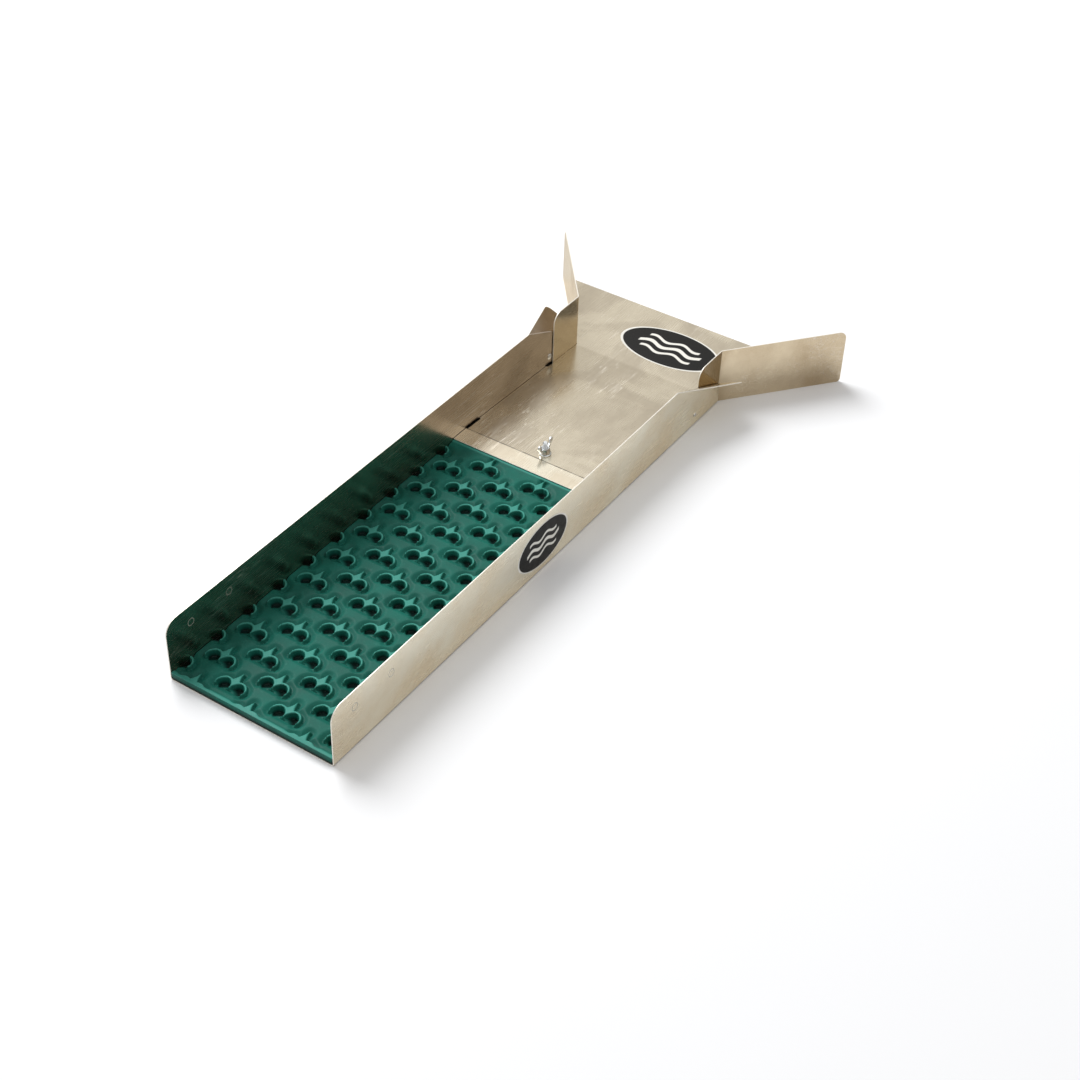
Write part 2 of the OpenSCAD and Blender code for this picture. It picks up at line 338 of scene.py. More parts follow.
def header_height(y):
    """Height of the underside of the header sheet and its slope, with softened folds."""
    slope = -(LIP_Z - SEAT_Z) / (HEADER_BEND - LIP_FOLD)
    for kink, width, before, after, z in (
        (LIP_FOLD, LIP_KINK, 0, slope, LIP_Z),
        (HEADER_BEND, FLOOR_KINK, slope, 0, SEAT_Z),
    ):
        if abs(y - kink) < width:
            t = (y - kink + width) / (2 * width)
            bow = (after - before) * width * t * t
            return z + before * (y - kink) + bow, before + (after - before) * t
    if y < LIP_FOLD:
        return LIP_Z, 0
    if y < HEADER_BEND:
        return LIP_Z + slope * (y - LIP_FOLD), slope
    return SEAT_Z, 0


def place_header(x, y):
    z, slope = header_height(y)
    normal = Vector((0, -slope, 1)).normalized()
    return Vector((x, y, z)) + normal * SHEET_T / 2, normal


def make_header():
    setback = TONGUE_HALF - RELIEF_DEPTH
    mitre = SHEET_T / 2 * tan(WING_ANGLE / 2)
    rear_y = WING_Y + WING_L * cos(WING_ANGLE)
    rear_x = FLOOR_HALF + WING_L * sin(WING_ANGLE) - 0.2
    right = arc(TONGUE_HALF - LIP_CORNER_R, LIP_FRONT + LIP_CORNER_R, LIP_CORNER_R, -90, 0, 4)
    right += [
        (TONGUE_HALF, LIP_FOLD),
        (setback, LIP_FOLD + 0.9),
        (setback, LIP_FOLD + FOLD_RELIEF_L),
        (TONGUE_HALF, LIP_FOLD + FOLD_RELIEF_L + 1),
        (TONGUE_HALF, RIVET_Y - RIVET_RELIEF_FRONT - 1),
        (setback, RIVET_Y - RIVET_RELIEF_FRONT),
        (setback, RIVET_Y + RIVET_RELIEF_REAR),
        (FLOOR_HALF, RIVET_Y + RIVET_RELIEF_REAR + 1),
        (FLOOR_HALF, WING_Y + mitre),
        (rear_x, rear_y),
    ]
    outline = right + [(-x, y) for x, y in reversed(right)]
    lines = []
    for y in (LIP_FOLD - 1.2, LIP_FOLD - 0.4):
        lines.append(((-TONGUE_HALF, y), (TONGUE_HALF, y)))
    for y in (LIP_FOLD + 1.0, LIP_FOLD + 1.6):
        lines.append(((-setback, y), (setback, y)))
    for y in (-2.0, -1.0, 0.0, 1.0, 2.0):
        lines.append(((-FLOOR_HALF, HEADER_BEND + y), (FLOOR_HALF, HEADER_BEND + y)))
    holes = [round_hole(0, STUD_Y, STUD_R + 0.5)]
    return folded_sheet("header_sheet", outline, holes, lines, place_header, 0.45)


WING_ARC = WING_BEND_R * WING_ANGLE
WING_TANGENT = WING_BEND_R * tan(WING_ANGLE / 2)
STRAIGHT_L = WING_Y - WING_TANGENT - SIDE_FRONT
PLATE_L = STRAIGHT_L + WING_ARC + WING_L - WING_TANGENT


def place_side_plate(side):
    """Folding rule for the side wall and its wing: v runs along the plate, z up."""

    def place(v, z):
        a = min(max(0, (v - STRAIGHT_L) / WING_BEND_R), WING_ANGLE)
        rest = max(0, v - STRAIGHT_L - WING_ARC)
        x = SIDE_FACE - SHEET_T / 2 + WING_BEND_R * (1 - cos(a)) + rest * sin(a)
        y = SIDE_FRONT + min(v, STRAIGHT_L) + WING_BEND_R * sin(a) + rest * cos(a)
        return Vector((side * x, y, z)), Vector((-side * cos(a), sin(a), 0))

    return place


def make_side_plate(name, side):
    slope = (LIP_Z - SEAT_Z) / (HEADER_BEND - LIP_FOLD)
    front_z = SEAT_Z + slope * (HEADER_BEND - SIDE_FRONT)
    step_v = STRAIGHT_L + 0.2
    r = WING_CORNER_R
    outline = [(0, front_z), (HEADER_BEND - SIDE_FRONT, SEAT_Z), (step_v, SEAT_Z), (step_v, 0)]
    outline += arc(PLATE_L - r / 2, r / 2, r / 2, -90, 0, 6)
    outline += arc(PLATE_L - r, WALL_H - r, r, 0, 90)
    outline += arc(SIDE_CORNER_R, WALL_H - SIDE_CORNER_R, SIDE_CORNER_R, 90, 180, 12)
    lines = []
    for v in bend_stations(STRAIGHT_L, WING_ARC, 7):
        foot = SEAT_Z if v < step_v else 0
        lines.append(((v, foot), (v, WALL_H)))
    return folded_sheet(name, outline, [], lines, place_side_plate(side))


# ---- mat --------------------------------------------------------------------


def smoothstep(low, high, value):
    """Eases from 0 to 1 as the value goes from low to high."""
    t = np.clip((value - low) / (high - low), 0, 1)
    return t * t * (3 - 2 * t)


def crest_distance(dx, dy):
    """Distance from the raised lines of a cell, dx and dy from the middle of its pockets: a
    wedge-shaped shank that points upstream and a fin that curls over each pocket to a barb."""
    side_x = np.abs(dx) - POCKET_X
    turn = np.degrees(np.arctan2(dy, side_x))
    fin_r = 7.3 + 1.5 * smoothstep(50, FIN_END, turn)
    fin_w = 0.35 + 0.95 * smoothstep(FIN_END, 80, turn)
    fin = np.abs(np.hypot(side_x, dy) - fin_r) - fin_w
    barb = np.hypot(side_x - 8.8 * cos(radians(FIN_END)), dy - 8.8 * sin(radians(FIN_END)))
    fin = np.where((turn > FIN_END) & (turn < 150), fin, barb)
    width = 0.3 + 6.5 * np.clip((SHANK_L - dy) / (SHANK_L - 4), 0, 1) ** 1.9
    beyond = np.maximum(0, dy - SHANK_L) + np.maximum(0, -3 - dy)
    shank = np.hypot(np.maximum(np.abs(dx) - width, 0), beyond)
    return np.minimum(fin, shank)


def pocket(dx, dy):
    """Floor height of the nearer pocket and how far a point is outside it, 0 to 1. The floor is
    deepest under the fin and climbs to a widening bowl on the inner, downstream side."""
    side_x = np.abs(dx) - POCKET_X
    reach = np.hypot(side_x, dy)
    deep = radians(POCKET_DEEP)
    climb = -(side_x * cos(deep) + dy * sin(deep))
    bowl_r = 6.4 + 2.8 * np.maximum(0, climb / np.maximum(reach, 0.1)) ** 1.5
    floor_z = 0.8 + 5.2 * smoothstep(-3.0, 8.5, climb)
    return floor_z, smoothstep(bowl_r - 1.4, bowl_r + 0.1, reach)


def mat_height(x, y):
    """Height of the mat's top above its underside for arrays of points."""
    distance = np.full(x.shape, 99.0)
    pits = []
    near_row = np.round((y - FIRST_ROW_Y) / ROW_L)
    for step in (-1, 0, 1):
        row = np.clip(near_row + step, -1, MAT_ROWS - 1)
        shift = PATTERN_SHIFT + np.where(np.mod(row, 2) == 0, CELL_W / 2, 0)
        dx = x - shift - np.round((x - shift) / CELL_W) * CELL_W
        dy = y - FIRST_ROW_Y - row * ROW_L
        distance = np.minimum(distance, crest_distance(dx, dy))
        floor_z, outside = pocket(dx, dy)
        pits.append((floor_z, np.where(row < 0, 1, outside)))
    base = 4.4 + 3.0 * smoothstep(0.6, 8, distance)
    crest = MAT_T - 0.3 * np.clip(distance + 0.6, 0, 1) - 2.4 * np.clip(distance, 0, 4)
    height = np.maximum(base, crest)
    for floor_z, outside in pits:
        height = np.minimum(height, floor_z + (height - floor_z) * outside)
    plain = np.maximum(smoothstep(PATTERN_END, PATTERN_END + 2, y), smoothstep(6.0, 2.5, y))
    return height + (MAT_T - 0.3 - height) * plain


def make_mat():
    columns = int(2 * MAT_HALF / MAT_STEP) + 1
    rows = int(MAT_L / MAT_STEP) + 1
    xs = np.linspace(-MAT_HALF, MAT_HALF, columns)
    ys = np.linspace(0, MAT_L, rows)
    gx, gy = np.meshgrid(xs, ys)
    gz = mat_height(gx, gy) + SHEET_T
    top = np.column_stack((gx.ravel() * MM, OUTLET_Y + gy.ravel() * MM, gz.ravel() * MM))
    index = np.arange(rows * columns).reshape(rows, columns)
    quads = np.column_stack((
        index[:-1, :-1].ravel(), index[:-1, 1:].ravel(), index[1:, 1:].ravel(), index[1:, :-1].ravel()
    ))
    rim = list(index[0, :]) + list(index[1:, -1]) + list(index[-1, -2::-1]) + list(index[-2:0:-1, 0])
    base = top[rim].copy()
    base[:, 0] *= MAT_FOOT_HALF / MAT_HALF
    base[:, 2] = SHEET_T * MM
    first = len(top)
    count = len(rim)
    faces = [list(map(int, q)) for q in quads]
    for i in range(count):
        k = (i + 1) % count
        faces.append([int(rim[i]), first + i, first + k, int(rim[k])])
    faces.append([first + i for i in range(count - 1, -1, -1)])
    mesh = bpy.data.meshes.new("mat_rubber")
    mesh.from_pydata(np.vstack((top, base)).tolist(), [], faces)
    bm = bmesh.new()
    bm.from_mesh(mesh)
    bpy.data.meshes.remove(mesh)
    return finish_mesh("mat_rubber", bm, 60)


# ---- fasteners --------------------------------------------------------------


def make_stud():
    """A press-in stud: thin collar, short plain neck and an M6 thread with a chamfered end."""
    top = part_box("stud")[1].z / MM
    low = [(STUD_R - 0.3, 0.02), (STUD_R - 0.3, SHEET_T), (5.3, SHEET_T), (5.5, SHEET_T + 0.2)]
    low += [(5.5, SHEET_T + 0.9), (5.2, SHEET_T + 1.15), (STUD_R, SHEET_T + 1.2)]
    steps = 160
    start = SHEET_T + 1.6
    heights = [p[1] for p in low] + [start + (top - start) * k / steps for k in range(steps + 1)]

    def radius(angle, j):
        if j < len(low):
            return low[j][0]
        turn = (heights[j] - start) / THREAD_PITCH - angle / (2 * pi)
        groove = 1 - abs(2 * (turn - floor(turn)) - 1)
        end = max(0, heights[j] - top + 0.9)
        return min(STUD_R - 0.62 * groove, STUD_R - 0.1 - end)

    return surface_of_turning("stud_threaded", radius, heights, (0, STUD_Y), 40)


def make_washer():
    low, high = (corner.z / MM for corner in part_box("washer"))
    c = 0.18
    profile = [(3.25, low + c), (3.25 + c, low), (7 - c, low), (7, low + c)]
    profile += [(7, high - 2 * c), (7 - 2 * c, high), (3.25 + c, high), (3.25, high - c)]
    return turned("washer_plate", profile, (0, STUD_Y), 56, closed_profile=True)


def ear_outline(reach, top):
    """Outline of one wing of the nut in (distance from the axis, height)."""
    points = [(3.6, 0.9), (6.9, 0.9), (8.6, 3.4), (reach - 2.4, top * 0.5)]
    points += arc(reach - 2.9, top - 3.2, 2.9, -35, 100, 10)
    points += [(reach - 5.6, top - 1.6), (7.6, 7.4), (5.4, 6.4), (3.6, 6.3)]
    return points


def add_ear(bm, direction, foot, reach, top):
    """One cast wing: thick in the middle of its outline, thinner and rounded at the rim."""
    outline = ear_outline(reach, top)
    centre = Vector((sum(p[0] for p in outline), sum(p[1] for p in outline))) / len(outline)
    layers = ((-1.1, 0.86), (-0.95, 0.95), (-0.45, 1.0), (0.45, 1.0), (0.95, 0.95), (1.1, 0.86))
    rings = []
    for across, scale in layers:
        ring = []
        for u, z in outline:
            p = centre + (Vector((u, z)) - centre) * scale
            ring.append(bm.verts.new(metres(across, STUD_Y + direction * p.x, foot + p.y)))
        rings.append(ring)
    count = len(outline)
    for low, high in zip(rings, rings[1:]):
        for i in range(count):
            k = (i + 1) % count
            bm.faces.new((low[i], low[k], high[k], high[i]))
    bm.faces.new(rings[0])
    bm.faces.new(rings[-1])


def make_wing_nut():
    low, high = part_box("wing_nut")
    foot = low.z / MM
    profile = [(3.08, foot + 0.3), (3.5, foot), (5.9, foot), (6.25, foot + 0.35), (6.1, foot + 1.6)]
    profile += [(5.3, foot + 5.2), (4.9, foot + 6.6), (4.5, foot + 7), (3.5, foot + 7)]
    profile += [(3.08, foot + 6.7)]
    nut = turned("wing_nut_cast", profile, (0, STUD_Y), 48, closed_profile=True)
    bm = bmesh.new()
    bm.from_mesh(nut.data)
    reach = (high.y - low.y) / 2 / MM
    top = (high.z - low.z) / MM
    for direction in (-1, 1):
        add_ear(bm, direction, foot, reach, top)
    bpy.data.meshes.remove(nut.data)
    return finish_mesh("wing_nut_cast", bm, 35)


def make_rivet(name, side):
    """A blind rivet: domed head inside the trough, rolled end outside, pulled stem between."""
    inside = TROUGH_W / 2 - SHEET_T
    profile = [(0.9, inside - 0.85), (1.05, inside - 1.1), (2.2, inside - 1.08)]
    profile += [(3.3, inside - 0.8), (3.9, inside - 0.35), (4.0, inside - 0.05), (2.0, inside)]
    profile += [(2.0, inside + SHEET_T), (2.7, inside + SHEET_T + 0.05)]
    profile += [(2.7, inside + SHEET_T + 0.5), (2.2, inside + SHEET_T + 0.78)]
    profile += [(0.8, inside + SHEET_T + 0.7)]
    rivet = turned(name, profile, (0, 0), 36)
    across = Matrix.Rotation(side * pi / 2, 4, "Y")
    here = metres(0, RIVET_Y, RIVET_Z)
    rivet.data.transform(Matrix.Translation(here) @ across @ Matrix.Translation((0, -OUTLET_Y, 0)))
    return rivet


def make_sticker(name, node, normal_axis):
    """A thin oval label with a rounded edge, filling the box of its CAD node."""
    low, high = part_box(node)
    centre = (low + high) / 2
    u_axis, v_axis = [i for i in range(3) if i != normal_axis]
    half_u = (high[u_axis] - low[u_axis]) / 2
    half_v = (high[v_axis] - low[v_axis]) / 2
    thickness = high[normal_axis] - low[normal_axis]
    bm = bmesh.new()
    rings = []
    for inset, level in ((0, 0), (0, 0.6), (0.15 * MM, 0.9), (0.35 * MM, 1.0)):
        ring = []
        for i in range(120):
            a = 2 * pi * i / 120
            p = Vector((0, 0, 0))
            p[u_axis] = centre[u_axis] + (half_u - inset) * cos(a)
            p[v_axis] = centre[v_axis] + (half_v - inset) * sin(a)
            p[normal_axis] = low[normal_axis] + level * thickness
            ring.append(bm.verts.new(p))
        rings.append(ring)
    for low_ring, high_ring in zip(rings, rings[1:]):
        for i in range(120):
            k = (i + 1) % 120
            bm.faces.new((low_ring[i], low_ring[k], high_ring[k], high_ring[i]))
    bm.faces.new(rings[0])
    bm.faces.new(rings[-1])
    return finish_mesh(name, bm)


# ---- materials --------------------------------------------------------------


class Shader:
    """A small wrapper that builds one node material."""

    def __init__(self, name, **constants):
        self.material = bpy.data.materials.new(name)
        self.material.use_nodes = True
        self.tree = self.material.node_tree
        self.bsdf = self.tree.nodes["Principled BSDF"]
        for key, value in constants.items():
            self.bsdf.inputs[key.replace("_", " ")].default_value = value
        self.position = self.add("ShaderNodeTexCoord").outputs["Object"]

    def add(self, kind, inputs=None, **properties):
        node = self.tree.nodes.new(kind)
        for key, value in properties.items():
            setattr(node, key, value)
        for key, value in (inputs or {}).items():
            socket = node.inputs[key]
            if isinstance(value, bpy.types.NodeSocket):
                self.tree.links.new(value, socket)
            else:
                socket.default_value = value
        return node

    def drive(self, name, socket):
        self.tree.links.new(socket, self.bsdf.inputs[name])

    def stretched(self, scale, turn=(0, 0, 0)):
        """The object's coordinates in metres, rotated and scaled."""
        inputs = {"Vector": self.position, "Scale": scale, "Rotation": turn}
        return self.add("ShaderNodeMapping", inputs).outputs[0]

    def noise(self, scale, detail=3.0, vector=None, distortion=0.0, roughness=0.5):
        inputs = {"Scale": scale, "Detail": detail, "Distortion": distortion}
        inputs["Roughness"] = roughness
        inputs["Vector"] = vector or self.position
        return self.add("ShaderNodeTexNoise", inputs).outputs["Fac"]

    def ramp(self, value, low, high, out_low=0.0, out_high=1.0):
        """Maps low..high to out_low..out_high, clamped."""
        inputs = {"Value": value, "From Min": low, "From Max": high}
        inputs.update({"To Min": out_low, "To Max": out_high})
        return self.add("ShaderNodeMapRange", inputs).outputs[0]

    def math(self, operation, a, b=0.0):
        node = self.add("ShaderNodeMath", {0: a, 1: b}, operation=operation)
        return node.outputs[0]

    def mix(self, factor, a, b):
        """Blends two colours."""
        node = self.add("ShaderNodeMix", data_type="RGBA")
        for name, value in (("Factor_Float", factor), ("A_Color", a), ("B_Color", b)):
            socket = next(s for s in node.inputs if s.identifier == name)
            if isinstance(value, bpy.types.NodeSocket):
                self.tree.links.new(value, socket)
            else:
                socket.default_value = value
        return next(s for s in node.outputs if s.identifier == "Result_Color")

    def bump(self, height, distance, strength=1.0, below=None):
        inputs = {"Height": height, "Distance": distance, "Strength": strength}
        if below:
            inputs["Normal"] = below
        return self.add("ShaderNodeBump", inputs).outputs[0]


def scratches(shader, turn, density, length):
    """Thin straight scratches: stretched noise with a narrow band picked out of it."""
    vector = shader.stretched((density, density / length, density), turn)
    band = shader.math("ABSOLUTE", shader.math("SUBTRACT", shader.noise(1, 2, vector), 0.5))
    line = shader.ramp(band, 0.0, 0.012, 1.0, 0.0)
    patch = shader.ramp(shader.noise(11, 1, shader.stretched((1, 1, 1), turn)), 0.52, 0.64)
    return shader.math("MULTIPLY", line, patch)


def sheet_metal(name, pale, deep, roughness, cloud_edge=0.12, painted_light=None, burr=None, fold_shade=None):
    """Mill-finish sheet: cloudy patches with fairly crisp edges, partly the sheet's own film and
    partly painted reflections, faint rolling grain along the flow and light scratches. painted_light,
    burr and fold_shade are functions of the shader that give 0..1 masks of painted light on the
    metal, of pale raised burrs and of painted shade in a fold."""
    s = Shader(name, Metallic=1.0, Specular_Tint=(0.74, 0.70, 0.62, 1))
    # Cloudy patches: partly the sheet's own film, partly painted reflections of brighter and dimmer
    # surroundings.
    cloud = s.ramp(s.noise(10, 5, distortion=0.8), 0.5 - cloud_edge, 0.5 + cloud_edge)
    smear = s.ramp(s.noise(1, 4, s.stretched((42, 15, 28), (0.2, 0.1, 0.5))), 0.36, 0.66)
    mottle = s.noise(120, 4)
    grain = s.noise(1, 3, s.stretched((1300, 30, 1300)))
    lines = s.math("ADD", scratches(s, (0, 0, 0.35), 170, 30), scratches(s, (0.3, 0, -0.9), 150, 24))
    tone = s.math("ADD", s.math("MULTIPLY", cloud, 0.55), s.math("MULTIPLY", smear, 0.30))
    tone = s.math("ADD", tone, s.ramp(mottle, 0.3, 0.7, 0.0, 0.15))
    colour = s.mix(tone, deep, pale)
    colour = s.mix(s.ramp(grain, 0.3, 0.7, 0.0, 0.05), colour, (0.9, 0.88, 0.84, 1))
    colour = s.mix(s.math("MULTIPLY", lines, 0.30), colour, (0.95, 0.94, 0.92, 1))
    # Painted light: the metal is painted brighter where this mask is high.
    if painted_light:
        highlight_colour = s.mix(tone, (0.86, 0.75, 0.57, 1), (1.0, 0.97, 0.84, 1))
        colour = s.mix(painted_light(s), colour, highlight_colour)
    if burr:
        mask = burr(s)
        colour = s.mix(mask, colour, (0.42, 0.44, 0.40, 1))
        s.drive("Metallic", s.math("SUBTRACT", 1.0, mask))
    # Painted shade: the fold is painted dark where this mask is high.
    if fold_shade:
        colour = s.mix(fold_shade(s), colour, (0.05, 0.045, 0.04, 1))
    s.drive("Base Color", colour)
    rough = s.math("ADD", s.ramp(tone, 0, 1, roughness + 0.06, roughness - 0.03),
                   s.ramp(grain, 0.3, 0.7, -0.02, 0.04))
    s.drive("Roughness", s.math("ADD", rough, s.math("MULTIPLY", lines, 0.2)))
    wave = s.bump(s.noise(9, 1), 0.0012, 0.35)
    fine = s.bump(grain, 0.00001, 0.4, wave)
    scored = s.bump(lines, 0.00003, 0.5, fine)
    s.drive("Normal", s.bump(mottle, 0.00004, 0.3, scored))
    return s.material


def painted_outer_wall_light(s):
    """Painted light: the outer face of the trough's right wall, painted brighter than the inside as
    if lit.
    """
    x = s.add("ShaderNodeSeparateXYZ", {0: s.position}).outputs["X"]
    middle = WALL_MID * MM
    return s.ramp(x, middle - 0.0002, middle + 0.0002, 0.0, 1.0)


def knockout_burr(s):
    """The knock-out rings, drawn as pale rims because the sheet has no slots there."""
    axes = s.add("ShaderNodeSeparateXYZ", {0: s.position}).outputs
    radius = (KNOCKOUT_R - KNOCKOUT_SLOT / 2) * MM
    mask = 0.0
    for y in KNOCKOUT_YS:
        along = s.math("SUBTRACT", axes["Y"], OUTLET_Y + y * MM)
        up = s.math("SUBTRACT", axes["Z"], KNOCKOUT_Z * MM)
        squares = s.math("ADD", s.math("MULTIPLY", along, along), s.math("MULTIPLY", up, up))
        off = s.math("ABSOLUTE", s.math("SUBTRACT", s.math("SQRT", squares), radius))
        mask = s.math("MAXIMUM", mask, s.ramp(off, 0.0004, 0.0006, 0.7, 0.0))
    return mask


def painted_lip_and_rim_highlights(s):
    """Painted highlights on the header's clamped lip and along the side rims of its tongue."""
    axes = s.add("ShaderNodeSeparateXYZ", {0: s.position}).outputs
    fold = OUTLET_Y + LIP_FOLD * MM
    lip = s.ramp(axes["Y"], fold - 0.0006, fold + 0.0002, 0.36, 0.0)
    rim_x = (SIDE_FACE - 1.5) * MM
    rim = s.ramp(s.math("ABSOLUTE", axes["X"]), rim_x, rim_x + 0.0003, 0.0, 0.85)
    rim_end = fold + TONGUE_RIM_L * MM
    tongue = s.ramp(axes["Y"], rim_end - 0.001, rim_end + 0.001, 1.0, 0.0)
    return s.math("MAXIMUM", lip, s.math("MULTIPLY", rim, tongue))


def painted_lip_fold_shade(s):
    """Painted shade: a dark, broken line in the fold behind the header's lip."""
    y = s.add("ShaderNodeSeparateXYZ", {0: s.position}).outputs["Y"]
    off = s.math("ABSOLUTE", s.math("SUBTRACT", y, OUTLET_Y + (LIP_FOLD + 0.3) * MM))
    broken = s.ramp(s.noise(90, 3), 0.3, 0.6, 0.35, 0.85)
    return s.math("MULTIPLY", s.ramp(off, 0.0004, 0.0009, 1.0, 0.0), broken)


def cut_edge():
    """Sheared edge of the sheet: bright, with short marks across it."""
    s = Shader("cut_edge", Metallic=0.4)
    marks = s.noise(700, 3)
    s.drive("Base Color", s.mix(marks, (0.72, 0.68, 0.6, 1), (1.0, 0.97, 0.9, 1)))
    s.drive("Roughness", s.ramp(marks, 0.3, 0.7, 0.3, 0.5))
    s.drive("Normal", s.bump(marks, 0.00004, 0.5))
    return s.material


def rubber():
    """Moulded green rubber: satin crests with a painted highlight, hollows painted near black as
    painted shade, random dust and a fine moulded grain.
    """
    s = Shader("mat_rubber", IOR=1.27)
    height = s.add("ShaderNodeSeparateXYZ", {0: s.position}).outputs["Z"]
    # By height: the crests get a painted highlight and the hollows get painted shade.
    crest = s.ramp(height, 0.0088, 0.0101)
    hollow_shade = s.ramp(height, 0.0030, 0.0064, 1.0, 0.0)
    cloud = s.ramp(s.noise(34, 4), 0.35, 0.68)
    body = s.mix(cloud, (0.004, 0.088, 0.066, 1), (0.006, 0.128, 0.096, 1))
    crest_highlighted = s.mix(s.math("MULTIPLY", crest, 0.75), body, (0.060, 0.330, 0.270, 1))
    dust = s.ramp(s.noise(260, 4), 0.60, 0.74, 0.0, 0.22)
    dust_and_crest_highlight = s.mix(dust, crest_highlighted, (0.040, 0.240, 0.190, 1))
    # Painted shade: the hollows are painted near black.
    s.drive("Base Color", s.mix(hollow_shade, dust_and_crest_highlight, (0.0015, 0.014, 0.011, 1)))
    grain = s.noise(1500, 3)
    rough = s.math("ADD", s.ramp(cloud, 0, 1, 0.50, 0.62), s.ramp(grain, 0.3, 0.7, -0.05, 0.07))
    s.drive("Roughness", s.math("SUBTRACT", rough, s.math("MULTIPLY", crest, 0.08)))
    s.drive("Normal", s.bump(grain, 0.00006, 0.6, s.bump(s.noise(120, 2), 0.0003, 0.4)))
    return s.material


def zinc(name, tint):
    """Bright plating with small tumbling marks and duller patches."""
    s = Shader(name, Metallic=1.0)
    patch = s.ramp(s.noise(260, 4), 0.38, 0.66)
    marks = s.noise(2200, 3, s.stretched((1, 1, 0.4), (0.4, 0.2, 0.1)))
    dull = tuple(0.72 * c for c in tint[:3]) + (1,)
    s.drive("Base Color", s.mix(patch, dull, tint))
    rough = s.math("ADD", s.ramp(patch, 0, 1, 0.34, 0.18), s.ramp(marks, 0.3, 0.7, -0.03, 0.08))
    s.drive("Roughness", rough)
    s.drive("Normal", s.bump(marks, 0.00003, 0.6, s.bump(s.noise(500, 2), 0.00008, 0.5)))
    return s.material


def sticker_print(name, node, u_axis, v_axis):
    """Printed vinyl: a black oval, a pale line inside its edge and three plain waves."""
    s = Shader(name, IOR=1.22)
    low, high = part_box(node)
    axes = s.add("ShaderNodeSeparateXYZ", {0: s.position})

    def local(axis):
        half = (high[axis] - low[axis]) / 2
        middle = (high[axis] + low[axis]) / 2
        return s.math("DIVIDE", s.math("SUBTRACT", axes.outputs[axis], middle), half)

    u, v = local(u_axis), local(v_axis)
    reach = s.math("SQRT", s.math("ADD", s.math("MULTIPLY", u, u), s.math("MULTIPLY", v, v)))
    white = s.ramp(reach, 0.945, 0.955)
    for level, half_width, width in ((0.34, 0.52, 0.05), (0.0, 0.62, 0.07), (-0.34, 0.52, 0.05)):
        crest = s.math("MULTIPLY", s.math("SINE", s.math("MULTIPLY", u, 11.0)), 0.09)
        gap = s.math("ABSOLUTE", s.math("SUBTRACT", s.math("SUBTRACT", v, level), crest))
        line = s.ramp(gap, width, width + 0.02, 1.0, 0.0)
        inside = s.ramp(s.math("ABSOLUTE", u), half_width, half_width + 0.02, 1.0, 0.0)
        white = s.math("MAXIMUM", white, s.math("MULTIPLY", line, inside))
    ink = s.ramp(s.noise(900, 3), 0.3, 0.7, 0.0, 1.0)
    black = s.mix(ink, (0.006, 0.006, 0.006, 1), (0.018, 0.018, 0.017, 1))
    pale = s.mix(ink, (0.74, 0.73, 0.68, 1), (0.86, 0.85, 0.80, 1))
    s.drive("Base Color", s.mix(white, black, pale))
    s.drive("Roughness", s.ramp(s.noise(140, 3), 0.3, 0.7, 0.36, 0.50))
    s.drive("Normal", s.bump(s.noise(650, 2), 0.00002, 0.5))
    return s.material


def paper_floor():
    s = Shader("pale_floor", Roughness=0.9)
    tone = s.noise(3, 2)
    s.drive("Base Color", s.mix(tone, (0.90, 0.91, 0.93, 1), (0.91, 0.92, 0.94, 1)))
    return s.material


# ---- assembly ---------------------------------------------------------------


def dress(obj, body, node, *materials):
    """Gives a piece its materials and body, and lets it stand for its CAD node by hiding that node.
    """
    for material in materials:
        obj.data.materials.append(material)
    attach(obj, body)
    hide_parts(node)


EDGE = cut_edge()
# The trough's metal carries painted light on the outer face of its right wall.
TROUGH_METAL = sheet_metal(
    "trough_metal", (0.55, 0.46, 0.37, 1), (0.36, 0.29, 0.22, 1), 0.22,
    painted_light=painted_outer_wall_light, burr=knockout_burr,
)
# The header's metal carries painted highlights on its lip and tongue rims, and painted shade in the
# lip's fold.
HEADER_METAL = sheet_metal(
    "header_metal", (0.82, 0.75, 0.60, 1), (0.53, 0.47, 0.37, 1), 0.25, 0.05,
    painted_light=painted_lip_and_rim_highlights, fold_shade=painted_lip_fold_shade,
)
WING_METAL = sheet_metal("wing_metal", (0.70, 0.59, 0.42, 1), (0.46, 0.35, 0.22, 1), 0.20)
ZINC = zinc("zinc_plate", (0.82, 0.85, 0.87, 1))
ALUMINIUM = zinc("rivet_aluminium", (0.80, 0.79, 0.76, 1))

dress(make_trough(), "trough", "trough", TROUGH_METAL, EDGE)
dress(make_mat(), "mat", "mat", rubber())
dress(make_header(), "header", "header_floor", HEADER_METAL, EDGE)
dress(make_side_plate("side_plate_right", 1), "header", "wing_right", WING_METAL, EDGE)
dress(make_side_plate("side_plate_left", -1), "header", "wing_left", WING_METAL, EDGE)
dress(make_stud(), "trough", "stud", ZINC)
dress(make_washer(), "washer", "washer", ZINC)
dress(make_wing_nut(), "wing_nut", "wing_nut", ZINC)
for rivet_name, rivet_side in (("rivet_right", 1), ("rivet_left", -1)):
    dress(make_rivet(rivet_name, rivet_side), "trough", "locating_rivets", ALUMINIUM)
wall_print = sticker_print("wall_sticker_print", "wall_sticker", 1, 2)
floor_print = sticker_print("floor_sticker_print", "floor_sticker", 0, 1)
dress(make_sticker("sticker_wall", "wall_sticker", 0), "trough", "wall_sticker", wall_print)
dress(make_sticker("sticker_floor", "floor_sticker", 2), "header", "floor_sticker", floor_print)


# ---- stage, light and camera ------------------------------------------------

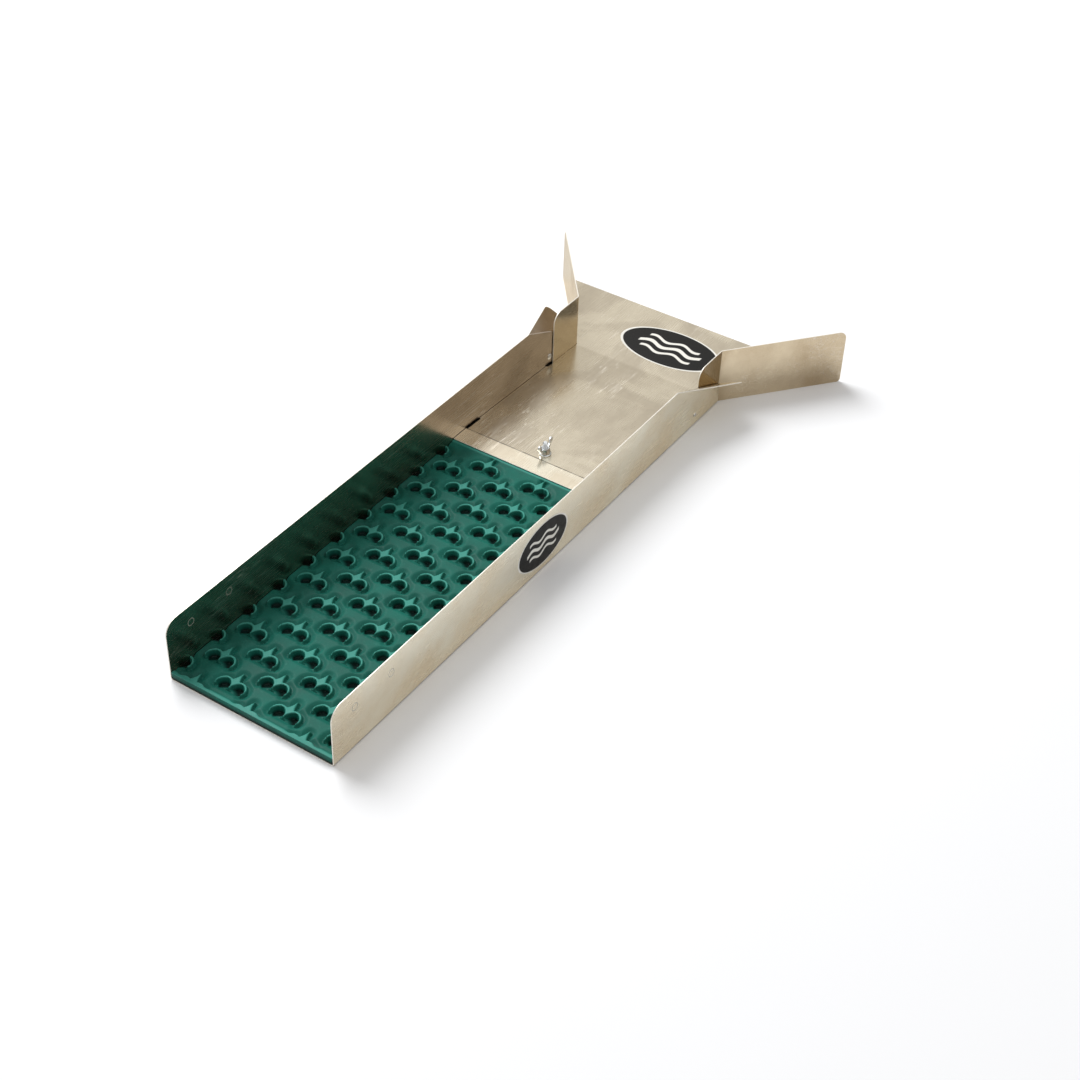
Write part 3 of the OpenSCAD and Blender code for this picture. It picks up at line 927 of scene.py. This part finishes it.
# Metres and watts
KEY_PLACE = (-3.0, 0.9, 3.65)
KEY_SIZE = 3.4
KEY_POWER = 212
WORLD_STRENGTH = 0.72
WORLD_STRENGTH_IN_REFLECTIONS = 1.12
CAMERA_PLACE = (0.8952, -1.3252, 1.2655)
CAMERA_LENS = 62.61


def make_floor():
    bm = bmesh.new()
    bmesh.ops.create_grid(bm, x_segments=8, y_segments=8, size=8)
    ground = finish_mesh("pale_floor", bm)
    ground.data.materials.append(paper_floor())


def area_light(name, place, size, power):
    """A round soft light aimed at the middle of the box."""
    light = bpy.data.lights.new(name, "AREA")
    light.shape = "DISK"
    light.size = size
    light.energy = power
    obj = bpy.data.objects.new(name, light)
    bpy.context.scene.collection.objects.link(obj)
    obj.location = place
    obj.rotation_euler = (Vector((0, 0, 0)) - Vector(place)).to_track_quat("-Z", "Y").to_euler()


def make_world():
    """A soft studio: bright overhead and dimmer towards the horizon, with large cloudy patches
    for the metal to reflect."""
    world = bpy.data.worlds.new("studio")
    bpy.context.scene.world = world
    world.use_nodes = True
    tree = world.node_tree

    def add(kind, **inputs):
        node = tree.nodes.new(kind)
        for key, value in inputs.items():
            socket = node.inputs[key.replace("_", " ")]
            if isinstance(value, bpy.types.NodeSocket):
                tree.links.new(value, socket)
            else:
                socket.default_value = value
        return node

    direction = add("ShaderNodeTexCoord").outputs["Generated"]
    height = add("ShaderNodeSeparateXYZ", Vector=direction).outputs["Z"]
    patches = add("ShaderNodeTexNoise", Vector=direction, Scale=5.0, Detail=3.0).outputs["Fac"]
    lift = add("ShaderNodeMath")
    lift.operation = "MULTIPLY_ADD"
    tree.links.new(patches, lift.inputs[0])
    lift.inputs[1].default_value = 0.45
    tree.links.new(height, lift.inputs[2])
    ramp = add("ShaderNodeValToRGB", Fac=lift.outputs[0])
    stops = ramp.color_ramp.elements
    stops[0].position, stops[0].color = 0.50, (0.42, 0.39, 0.35, 1)
    stops[1].position, stops[1].color = 0.84, (1.0, 1.0, 1.0, 1)
    middle = stops.new(0.76)
    middle.color = (0.50, 0.47, 0.43, 1)
    tree.links.new(ramp.outputs["Color"], tree.nodes["Background"].inputs["Color"])
    glossy = add("ShaderNodeLightPath").outputs["Is Glossy Ray"]
    strength = add("ShaderNodeMapRange", Value=glossy)
    strength.inputs["To Min"].default_value = WORLD_STRENGTH
    strength.inputs["To Max"].default_value = WORLD_STRENGTH_IN_REFLECTIONS
    tree.links.new(strength.outputs[0], tree.nodes["Background"].inputs["Strength"])


def make_camera():
    """The viewing angle: from the right of the outlet, looking down and upstream."""
    right = Vector((0.83042, 0.55650, 0.02686))
    up = Vector((-0.37214, 0.51814, 0.77009))
    back = Vector((0.41463, -0.64949, 0.63737))
    camera = bpy.data.objects.new("camera", bpy.data.cameras.new("camera"))
    bpy.context.scene.collection.objects.link(camera)
    turn = Matrix((right, up, back)).transposed().to_4x4()
    camera.matrix_world = Matrix.Translation(CAMERA_PLACE) @ turn
    camera.data.sensor_width = 36
    camera.data.lens = CAMERA_LENS
    camera.data.clip_end = 50
    bpy.context.scene.camera = camera


make_floor()
make_world()
area_light("key", KEY_PLACE, KEY_SIZE, KEY_POWER)
make_camera()
bpy.context.scene.view_settings.view_transform = "Standard"
